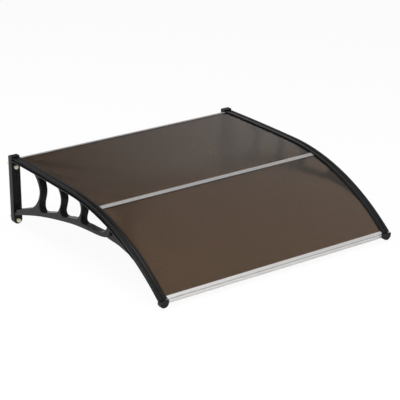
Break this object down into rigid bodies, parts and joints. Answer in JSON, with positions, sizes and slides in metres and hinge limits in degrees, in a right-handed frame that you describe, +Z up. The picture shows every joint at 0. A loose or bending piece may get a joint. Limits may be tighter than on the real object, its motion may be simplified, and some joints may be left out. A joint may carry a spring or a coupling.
{
  "type": "polycarbonate door canopy",
  "caption": "Arched door canopy: tinted twin-wall sheets on two black side brackets with ribbed braces, joined and edged by aluminium bars.",
  "frame": {"origin": "on the wall plane, at the middle of the canopy's width and level with the lower ends of the wall posts", "axes": "+Z up, +Y into the wall, +X to the right of someone facing the wall"},
  "size_m": [1, 0.9958, 0.262],
  "materials": {
    "bracket_black": "moulded black plastic, fine satin grain",
    "strip_black": "extruded black plastic strip, satin",
    "bronze_sheet": "bronze-tinted twin-wall sheet, glossy, fine flutes",
    "bar_aluminium": "extruded aluminium, natural, lightly brushed",
    "zinc_steel": "bright zinc-plated steel, slightly yellow"
  },
  "bodies": {
    "root": {"left_bracket": "bracket_black", "left_pressing_strip": "strip_black", "left_clamp_screw_1": "zinc_steel", "left_clamp_screw_2": "zinc_steel", "left_clamp_screw_3": "zinc_steel", "left_clamp_screw_4": "zinc_steel", "left_clamp_screw_5": "zinc_steel", "left_upper_wall_bolt": "zinc_steel", "left_upper_washer": "zinc_steel", "left_lower_wall_bolt": "zinc_steel", "left_lower_washer": "zinc_steel", "right_bracket": "bracket_black", "right_pressing_strip": "strip_black", "right_clamp_screw_1": "zinc_steel", "right_clamp_screw_2": "zinc_steel", "right_clamp_screw_3": "zinc_steel", "right_clamp_screw_4": "zinc_steel", "right_clamp_screw_5": "zinc_steel", "right_upper_wall_bolt": "zinc_steel", "right_upper_washer": "zinc_steel", "right_lower_wall_bolt": "zinc_steel", "right_lower_washer": "zinc_steel", "rear_sheet": "bronze_sheet", "front_sheet": "bronze_sheet", "joining_bar": "bar_aluminium", "rear_edge_trim": "bar_aluminium", "front_edge_bar": "bar_aluminium"}
  },
  "joints": []
}
